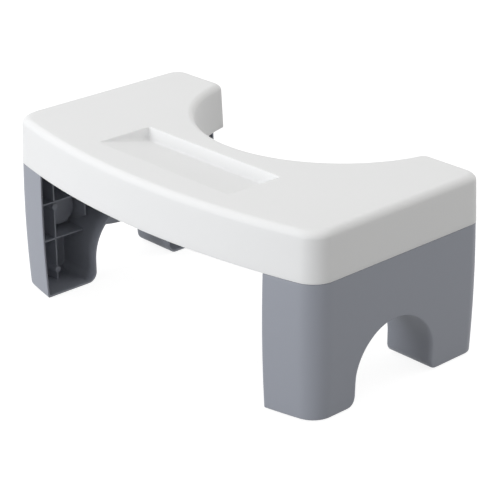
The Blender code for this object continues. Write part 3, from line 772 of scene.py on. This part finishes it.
def rib_strip(edge, root, across):
    """A strip along a rib, from its root round its free edge to its root again.

    The free edge is RIB_HALF to each side, less RIB_CORNER * (1 - cos) and (1 - sin) at corners.
    """
    way = root - edge
    way = way / np.maximum(np.linalg.norm(way, axis=-1, keepdims=True), TINY)
    turn = np.linspace(0, np.pi / 2, 4)
    beside = RIB_HALF - RIB_CORNER + RIB_CORNER * np.cos(turn)
    back = RIB_CORNER * (1 - np.sin(turn))
    beside = np.concatenate([beside, -beside[::-1]])[:, None, None]
    back = np.concatenate([back, back[::-1]])[:, None, None]
    foot = across * RIB_ROOT_HALF
    strip = np.concatenate([[root + foot], edge + way * back + across * beside, [root - foot]])
    return strip, cells(*strip.shape[:2])


print("a rib is", 2 * RIB_HALF, "thick, and", 2 * RIB_ROOT_HALF, "at its root")

# %% Draw the ribs of a leg
HINGE_YS = FRONT_HINGE_Y, REAR_HINGE_Y = -0.07045, 0.08255
FRONT_RIB_Y, REAR_RIB_Y = (FRONT_HINGE_Y + ARCH_Y) / 2, (ARCH_Y + REAR_HINGE_Y) / 2
RIB_EDGE_X, LEG_MIDDLE = RIM_X + 0.026, LEG_WALL / 2
LOW_RIB_Z, HIGH_RIB_Z = FOOT_Z + 0.0470, FOOT_Z + 0.0863
STUB_Z, STUB_DEPTH, STUB_SLOPE = FOOT_Z + 0.0610, 0.014, 2
LEVEL_EDGE_BACK, LEAST_RIB = 0.0001, 0.0003


def wall_x(y, z):
    """The x of the middle of the outer wall at y and z."""
    plan, normal = (np.vstack(pair) for pair in zip(*plan_runs()))
    middle = wall_place(plan, normal, z, LEG_MIDDLE)
    rising = np.concatenate([[True], np.diff(np.maximum.accumulate(middle[:, 1])) > TINY])
    return np.interp(y, middle[rising, 1], middle[rising, 0])


def upright_rib(y):
    """A rib at one y, from the sole up to the top. Over the arch its foot slopes to the wall."""
    low, slope_z = FOOT_Z + LEG_MIDDLE, 0
    if abs(y - ARCH_Y) < ARCH_RADIUS:
        before_lean = 2 * y - lean(y)
        low = ARCH_CENTRE_Z + half_chord(ARCH_RADIUS + LEG_MIDDLE, before_lean - ARCH_Y)
        slope_z = STUB_Z
    z = np.linspace(low, LEG_TOP_Z - LEG_MIDDLE, 49)
    edge = np.stack([np.full_like(z, RIB_EDGE_X), np.full_like(z, y), z], axis=-1)
    root = edge.copy()
    edge[:, 0] += np.clip(STUB_SLOPE * (slope_z - z), 0, STUB_DEPTH)
    root[:, 0] = END_X - leg_inset(z, TUCK_SIDE) - LEG_MIDDLE
    return rib_strip(edge, root, np.eye(3)[1])


def level_rib(z, start, end):
    """A rib at one z, between two places in y, with its root on the outer wall."""
    y = np.linspace(start, end, 60)
    root_x = np.maximum(wall_x(y, z), RIB_EDGE_X + LEAST_RIB)
    edge_x = np.full_like(y, RIB_EDGE_X + LEVEL_EDGE_BACK)
    edge, root = (np.stack([x, y, np.full_like(y, z)], axis=-1) for x in (edge_x, root_x))
    return rib_strip(edge, root, np.eye(3)[2])


def leg_rib_sheets():
    """Four upright ribs, and two level ones, of which the lower stops at the arch."""
    front = bow_y(RIB_EDGE_X) + LEG_INSET + LEG_MIDDLE
    back = BACK_Y - LEG_INSET - LEG_MIDDLE
    gap = half_chord(ARCH_RADIUS + LEG_MIDDLE, LOW_RIB_Z - ARCH_CENTRE_Z)
    sheets = [upright_rib(y) for y in (FRONT_HINGE_Y, FRONT_RIB_Y, REAR_RIB_Y, REAR_HINGE_Y)]
    sheets.append(level_rib(LOW_RIB_Z, front, lean(ARCH_Y - gap)))
    sheets.append(level_rib(LOW_RIB_Z, ARCH_Y + gap, back))
    return sheets + [level_rib(HIGH_RIB_Z, front, back)]


print("leg ribs", len(leg_rib_sheets()), "strips")

# %% [markdown]
# ## The disc, the bosses and the web
#
# Between the ribs are a shallow disc on the outer wall, and bosses that stand up to the ribs'
# edges. Each is turned from a profile, which keeps it truly round. A web crosses the crown of the
# arch, and its lower edge sags between the sides.

# %% Turn the disc and the bosses
DISC_X, LEG_INSIDE_X, BOSS_X = RIB_EDGE_X + 0.016, END_X - LEG_WALL, RIB_EDGE_X - 0.0012
DISC_PLACE = ((FRONT_HINGE_Y + FRONT_RIB_Y) / 2, FOOT_Z + 0.0695)
BOSS_HEIGHTS = (0.0133, 0.0817)


def lathe(profile, centre, axis, count, looped=False):
    """Each (radius, along) of the profile becomes a ring, radius * (cos, sin), about X or Y."""
    turn = np.linspace(0, 2 * np.pi, count, endpoint=False)
    radius, along = np.asarray(profile, float).T
    u = radius[:, None] * np.cos(turn)
    v = radius[:, None] * np.sin(turn)
    w = np.repeat(along[:, None], count, axis=1)
    points = np.stack([u, w, v] if axis == "Y" else [w, u, v], axis=-1) + np.asarray(centre)
    return points, cells(len(profile), count, wrap_rows=looped, wrap_cols=True)


def disc_and_bosses():
    """A disc with a raised rim round its middle, and four round bosses with a flat end."""
    middle = [(0, DISC_X + 0.0003), (0.0135, DISC_X + 0.0003), (0.0139, DISC_X), (0.0161, DISC_X)]
    rim = [(0.01638, DISC_X + 0.00012), (0.0165, DISC_X + 0.0004), (0.0165, LEG_INSIDE_X)]
    sheets = [lathe(middle + rim, (0, *DISC_PLACE), "X", 72)]
    tip = [(0, BOSS_X), (0.0030, BOSS_X), (0.0032, BOSS_X + 0.0001), (0.0033, BOSS_X + 0.0003)]
    boss = tip + [(0.0033, LEG_INSIDE_X)]
    for y in HINGE_YS:
        sheets += [lathe(boss, (0, y, FOOT_Z + height), "X", 32) for height in BOSS_HEIGHTS]
    return sheets


print("disc and bosses", len(disc_and_bosses()), "turned forms")

# %% Hang the web
WEB_X, WEB_LOW_Z, WEB_SAG = RIM_X + 0.008, FOOT_Z + 0.0556, 0.0052
WEB_HALF, WEB_EDGE = 0.0009, 0.0004
INTO_CROWN, INTO_SIDES = 0.0006, 0.0010


def web_sheets():
    """The web across the crown: for each height, from one side of the arch to the other.

    Every row sags in its middle, by WEB_SAG * (1 - across^2) at the lower edge and less above it.
    The two faces end in a half round lip.
    """
    z = np.linspace(WEB_LOW_Z, ARCH_TOP_Z + INTO_CROWN, 20)
    across = np.linspace(-1, 1, 41)
    y = lean(ARCH_Y + half_chord(ARCH_RADIUS + INTO_SIDES, z - ARCH_CENTRE_Z)[:, None] * across)
    sag = WEB_SAG * (1 - across**2) * ((z[-1] - z) / (z[-1] - z[0]))[:, None]
    faces = []
    for x in (WEB_X, WEB_X + 2 * WEB_HALF):
        face = np.stack([np.full_like(y, x), y, z[:, None] - sag], axis=-1)
        face[0, :, 2] += WEB_EDGE
        faces.append(face)
    turn = np.linspace(0, np.pi, 9)[:, None]
    lip = np.tile(faces[0][0], (len(turn), 1, 1))
    lip[..., 0] = WEB_X + WEB_HALF - WEB_HALF * np.cos(turn)
    lip[..., 2] -= WEB_EDGE * np.sin(turn)
    return [(sheet, cells(*sheet.shape[:2])) for sheet in (*faces, lip)]


print("web", len(web_sheets()), "sheets")

# %% [markdown]
# ## The hinges
#
# Each leg has two ears with an eye, and the top has a cheek on both sides of each ear. All are flat
# plates round the hinge axis. An extruded outline would keep its sharp edges, so a plate is a loop
# of sections: each runs from the bore out to the plate's edge, round it and back on the other face.

# %% Draw a hinge plate
HINGE_X, HINGE_Z = 0.14705, 0.1397
EYE_RADIUS, BORE_RADIUS, PLATE_EDGE = 0.0065, 0.0027, 0.0004


def polygon(corners, count):
    """Places along straight edges from corner to corner, without the first one."""
    return joined([line(a, b, count)[0] for a, b in zip(corners[:-1], corners[1:])])[1:]


def eye_outline(first, last, between=()):
    """An eye about the axis with tangents to two corners, and straight edges between those."""

    def touch(place, side):
        return np.arctan2(place[1], place[0]) + side * np.arccos(EYE_RADIUS / np.hypot(*place))

    start, end = touch(first, 1), touch(last, -1)
    end += 2 * np.pi * (end < start)
    eye = arc((0, 0), EYE_RADIUS, start, end, 41)[0]
    return np.vstack([eye, polygon([eye[-1], last, *between, first, eye[0]], 13)])[:-1]


def plate(outline, bore, y, half):
    """A plate at y about the hinge: bore, face, rounded edge, face and bore again at each place."""
    tangent = np.roll(outline, -1, axis=0) - np.roll(outline, 1, axis=0)
    tangent /= np.linalg.norm(tangent, axis=-1, keepdims=True)
    out = tangent[:, ::-1] * (1, -1)
    hub = outline / np.linalg.norm(outline, axis=-1, keepdims=True) * bore
    turn = np.linspace(0, np.pi / 2, 4)
    inset, rise = PLATE_EDGE * (1 - np.sin(turn)), PLATE_EDGE * (1 - np.cos(turn))
    edge = outline - out * np.concatenate([inset, inset[::-1]])[:, None, None]
    places = np.concatenate([[hub], edge, [hub]])
    level = np.concatenate([[-half], rise - half, half - rise[::-1], [half]])
    points = np.empty((*places.shape[:2], 3))
    points[..., 0] = HINGE_X + places[..., 0]
    points[..., 1] = y + level[:, None]
    points[..., 2] = HINGE_Z + places[..., 1]
    return points, cells(*places.shape[:2], wrap_rows=True, wrap_cols=True)


def slab(low, high, y, half):
    """A rectangular plate between two (x, z) corners about the hinge, drawn round its middle."""
    outline = polygon([low, (high[0], low[1]), high, (low[0], high[1]), low], 9)
    middle = (np.asarray(low) + np.asarray(high)) / 2
    points, quads = plate(outline - middle, 0, y, half)
    return points + (middle[0], 0, middle[1]), quads


print("hinge axis at x", HINGE_X, "and z", HINGE_Z)

# %% Draw the ears and the cheeks
EAR_HALF, CHEEK_HALF, EAR_GAP = 0.0030, 0.00175, 0.0003
EAR_LOW_X, EAR_HIGH_X, EAR_SINK = 0.0090, 0.0300, 0.0037
ROOT_LOW_X, ROOT_SINK, ROOT_TOP_SINK, ROOT_HALF = 0.0091, 0.0140, 0.0025, 0.0031
CHEEK_LOW_X, CHEEK_HIGH_X = -0.010, 0.028


def ear_sheets():
    """The two ears of a leg: an eye on a root that goes down inside the leg."""
    top = LEG_TOP_Z - HINGE_Z
    low = top - EAR_SINK
    outline = eye_outline((EAR_HIGH_X, top), (EAR_LOW_X, low), [(EAR_HIGH_X, low)])
    root = (ROOT_LOW_X, top - ROOT_SINK), (EAR_HIGH_X, top - ROOT_TOP_SINK)
    sheets = []
    for y in HINGE_YS:
        sheets += [plate(outline, BORE_RADIUS, y, EAR_HALF), slab(*root, y, ROOT_HALF)]
    return sheets


def cheek_sheets():
    """The plates on both sides of every ear, on both ends of the stool."""
    root = TOP_Z - TOP_WALL / 2 - HINGE_Z
    offset = EAR_HALF + EAR_GAP + CHEEK_HALF
    outline = eye_outline((CHEEK_LOW_X, root), (CHEEK_HIGH_X, root))
    sheets = []
    for y in [hinge + way * offset for hinge in HINGE_YS for way in (-1, 1)]:
        points, quads = plate(outline, BORE_RADIUS, y, CHEEK_HALF)
        sheets += [(points, quads), (points * (-1, 1, 1), quads)]
    return sheets


insides = leg_rib_sheets() + disc_and_bosses() + web_sheets()
for side_name, side in SIDES.items():
    name = side_name + "_leg"
    leg_ribs = piece(name + "_ribs", insides, grey_plastic, name, side, close=True)
    piece(name + "_hinge_ears", ear_sheets(), grey_plastic, name, side, close=True)
    print(leg_ribs.name, len(leg_ribs.data.polygons), "faces")
piece("hinge_cheeks", cheek_sheets(), white_plastic, "top")

# %% [markdown]
# ## Under the top
#
# A lattice of low ribs stiffens the underside. They are strips like the legs' ribs. Each follows
# the underside, and stops where the recess comes down to its lower edge.

# %% Draw the ribs of the top
PITCH_ALONG, PITCH_ACROSS = 0.040, 0.036
FREE_INSET, ROOT_INSET, FREE_DROP, ROOT_BITE = 0.0036, 0.0078, 0.010, 0.0003
RIB_STEP, LEAST_HEIGHT, HAIR = 0.0016, 0.0005, 0.0001


def crossings(loop, axis, level):
    """Where a loop crosses the line at a level of one axis: pairs of places on the other axis."""
    here, there = loop[:, axis] - level, np.roll(loop, -1, axis=0)[:, axis] - level
    cut = np.flatnonzero(here * there < 0)
    share = here[cut] / (here[cut] - there[cut])
    other = loop[:, 1 - axis]
    ahead = np.roll(other, -1)
    return np.sort(other[cut] * (1 - share) + ahead[cut] * share).reshape(-1, 2)


def rib_runs(axis, level, edge_ends, root_ends):
    """The strips of one rib, split where the underside comes below its free edge.

    Each run goes one step into the recess's wall. The two ways differ by a hair, so that no faces
    lie in one plane.
    """
    count = max(int((edge_ends[1] - edge_ends[0]) / RIB_STEP), 4)
    edge, root = np.full((2, count, 3), level)
    edge[:, 1 - axis] = np.linspace(*edge_ends, count)
    root[:, 1 - axis] = np.linspace(*root_ends, count)
    underside = TOP_Z - TOP_WALL + ROOT_BITE
    root[:, 2] = underside - recess_depth(root[:, 0], root[:, 1], TOP_WALL)
    edge[:, 2] = np.minimum(TOP_Z - FREE_DROP + HAIR * axis, root[:, 2] - HAIR)
    tall = root[:, 2] - edge[:, 2] > LEAST_HEIGHT
    turns = np.flatnonzero(np.diff(tall.astype(int))) + 1
    strips = []
    for run in np.split(np.arange(count), turns):
        if tall[run[0]] and len(run) > 2:
            grown = np.arange(max(run[0] - 1, 0), min(run[-1] + 2, count))
            held = np.clip(grown, run[0], run[-1])
            free, foot = edge[grown], root[grown]
            free[:, 2], foot[:, 2] = edge[held, 2], root[held, 2]
            strips.append(rib_strip(free, foot, np.eye(3)[axis]))
    return strips


def top_rib_sheets():
    """The lattice: a rib at each level of x, then a rib at each level of y."""
    places, normals = closed_outline()
    edge_loop = places - normals * FREE_INSET
    places, normals = closed_outline(FACE_CORNERS)
    root_loop = places - normals * ROOT_INSET
    lattice = [(0, k * PITCH_ALONG) for k in range(-5, 6)]
    lattice += [(1, k * PITCH_ACROSS) for k in range(-3, 4)]
    sheets = []
    for axis, level in lattice:
        spans = zip(crossings(edge_loop, axis, level), crossings(root_loop, axis, level))
        for edge_ends, root_ends in spans:
            sheets += rib_runs(axis, level, edge_ends, root_ends)
    return sheets


top_ribs = piece("top_ribs", top_rib_sheets(), white_plastic, "top", close=True)
print("top_ribs", len(top_ribs.data.polygons), "faces")

# %% [markdown]
# ## Pins and washers
#
# A hinge pin is turned steel with a domed head, and a push-on washer keeps it in its cheeks. Both
# are round about the hinge axis, so each is one profile carried round it, with its edges broken.

# %% Turn the pins and washers
PIN_SEAT, PIN_END, SHANK_RADIUS, PIN_ROUND = -0.0071, 0.0093, 0.0025, 0.0005
HEAD_HEIGHT, HEAD_CROWN, HEAD_NECK, NECK_ROUND = 0.0016, 0.0040, 0.0043, 0.0002
WASHER_NEAR, WASHER_FAR, WASHER_EDGE = 0.0071, 0.0081, 0.0002
WASHER_BORE, WASHER_RIM = 0.0027, 0.0050


def ring_arc(radius, along, size, start, end, count=5):
    """A quarter turn of a profile: places round (radius, along)."""
    turn = np.radians(np.linspace(start, end, count))
    return [(radius + size * np.cos(t), along + size * np.sin(t)) for t in turn]


def pin_rows():
    """The pin's profile: a domed head, a neck under it and a shank with a round tip."""
    crown, tip = PIN_SEAT - HEAD_HEIGHT, PIN_END - PIN_ROUND
    rows = [(0, crown), (0.0020, crown + 0.00002)]
    rows += ring_arc(HEAD_CROWN, crown + PIN_ROUND, PIN_ROUND, -90, 0)
    rows += ring_arc(HEAD_NECK, PIN_SEAT - NECK_ROUND, NECK_ROUND, 0, 90, 3)
    rows += [(SHANK_RADIUS, PIN_SEAT), (SHANK_RADIUS, tip)]
    return rows + ring_arc(SHANK_RADIUS - PIN_ROUND, tip, PIN_ROUND, 0, 90) + [(0, PIN_END)]


def washer_rows():
    """The washer's closed section, with a quarter arc at each of its four corners."""
    inner, outer = WASHER_BORE + WASHER_EDGE, WASHER_RIM - WASHER_EDGE
    low, high = WASHER_NEAR + WASHER_EDGE, WASHER_FAR - WASHER_EDGE
    rows = []
    for quarter, corner in enumerate([(outer, low), (outer, high), (inner, high), (inner, low)]):
        rows += ring_arc(*corner, WASHER_EDGE, 90 * quarter - 90, 90 * quarter, 3)
    return rows


for side_name, side in SIDES.items():
    for hinge_y, end_name, flip in zip(HINGE_YS, ("front", "rear"), (1, -1)):
        centre = (side * HINGE_X, hinge_y, HINGE_Z)
        pin_name = f"{side_name}_{end_name}_hinge_pin"
        washer_name = f"{side_name}_{end_name}_pin_washer"
        turned = lathe(np.multiply(pin_rows(), (1, flip)), centre, "Y", 48)
        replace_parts(piece(pin_name + "_turned", [turned], steel, "top"), pin_name)
        turned = lathe(np.multiply(washer_rows(), (1, flip)), centre, "Y", 48, looped=True)
        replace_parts(piece(washer_name + "_turned", [turned], steel, "top"), washer_name)

# %% [markdown]
# ## The pads
#
# Under each foot sits a rubber pad with grooves against slipping. Cutting them into a block leaves
# sharp faces, so the standing face is a height for every place: a round edge or a groove, whichever
# is deeper. The rows lie closer together at the grooves and the corners.

# %% Plan the pads
PAD_MARGIN, PAD_CORNER, PAD_ROUND, PAD_SINK = 0.0045, 0.003, 0.0004, 0.0008
PAD_FRONT_IN, ARCH_CLEARANCE, PAD_STRIP = 0.0060, 0.003, 0.0006
GROOVE_PITCH, GROOVE_HALF, GROOVE_SLOPE, GROOVE_DEPTH = 0.0060, 0.0006, 0.0002, 0.0004


def pad_span(front_foot):
    """The lowest and highest y of a pad, and its corner radii from low x, low y, anticlockwise."""
    arch_side = ARCH_TOE + ARCH_CLEARANCE
    front = front_corner(FRONT_CORNER)[0][1] - FRONT_CORNER + PAD_FRONT_IN
    back = BACK_Y - LEG_INSET - TUCK_BACK - PAD_MARGIN
    low, high = (front, ARCH_Y - arch_side) if front_foot else (ARCH_Y + arch_side, back)
    corner = (FRONT_CORNER if front_foot else BACK_CORNER) - PAD_MARGIN
    radii = [PAD_CORNER] * 4
    radii[1 if front_foot else 2] = min(corner, high - low - PAD_CORNER)
    return low, high, radii


def pad_rows(low, high):
    """The y of each groove, and the y of every row."""
    pairs = int((high - low) / (2 * GROOVE_PITCH))
    grooves = (low + high) / 2 + GROOVE_PITCH * (np.arange(-pairs, pairs) + 0.5)
    ways = np.array([-3, -2, -1, 1, 2, 3])[:, None] * GROOVE_SLOPE
    ends = low + PAD_CORNER * (1 - np.cos(np.linspace(0, np.pi / 2, 13)))
    every = [(grooves + ways).ravel(), ends, low + high - ends, np.linspace(low, high, 41)]
    rows = np.unique(np.round(np.concatenate(every), 7))
    return grooves, rows[(rows >= low) & (rows <= high)]


print("front pad", pad_span(True)[:2], "rear pad", pad_span(False)[:2])


# %% Mould the pads
def pad_sheets(front_foot):
    """A pad as rows of x at each y: the standing face, the flat face in the foot and the side.

    A round corner takes its radius less half a chord off the ends of a row.
    """
    low, high, radii = pad_span(front_foot)
    grooves, rows = pad_rows(low, high)

    def cut(radius_low, radius_high):
        near = np.clip(low + radius_low - rows, 0, radius_low)
        far = np.clip(rows - high + radius_high, 0, radius_high)
        off_low = radius_low - half_chord(radius_low, near)
        return off_low + radius_high - half_chord(radius_high, far)

    start = RIM_X + PAD_MARGIN + cut(radii[0], radii[3])
    end = END_X - LEG_INSET - TUCK_SIDE - PAD_MARGIN - cut(radii[1], radii[2])
    strip = PAD_STRIP * (1 - np.cos(np.linspace(0, np.pi / 2, 6)))[:, None]
    share = np.linspace(0, 1, 9)[:, None]
    middle = (start + PAD_STRIP) * (1 - share) + (end - PAD_STRIP) * share
    x = np.vstack([start + strip[:-1], middle, end - strip[-2::-1]]).T
    y = np.repeat(rows[:, None], x.shape[1], axis=1)
    to_ends = np.minimum(x - start[:, None], end[:, None] - x)
    away = np.minimum(to_ends, np.minimum(y - low, high - y))
    rise = PAD_ROUND * (1 - half_chord(1, 1 - np.clip(away / PAD_ROUND, 0, 1)))
    off = np.abs(rows[:, None] - grooves).min(axis=1)
    groove = GROOVE_DEPTH * np.clip((GROOVE_HALF - off) / GROOVE_SLOPE, 0, 1)
    under = np.stack([x, y, np.maximum(rise, groove[:, None])], axis=-1)
    upper = np.stack([x, y, np.full_like(x, FOOT_Z + PAD_SINK)], axis=-1)
    wall = np.stack([grid_border(under), grid_border(upper)])
    faces = [(sheet, cells(*x.shape)) for sheet in (under, upper)]
    return faces + [(wall, cells(*wall.shape[:2], wrap_cols=True))]


for side_name, side in SIDES.items():
    for front_foot, end_name in ((True, "front"), (False, "rear")):
        pad_name, sheets = f"{side_name}_{end_name}_foot_pad", pad_sheets(front_foot)
        pad = piece(pad_name + "_grooved", sheets, dark_rubber, side_name + "_leg", side)
        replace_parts(pad, pad_name)
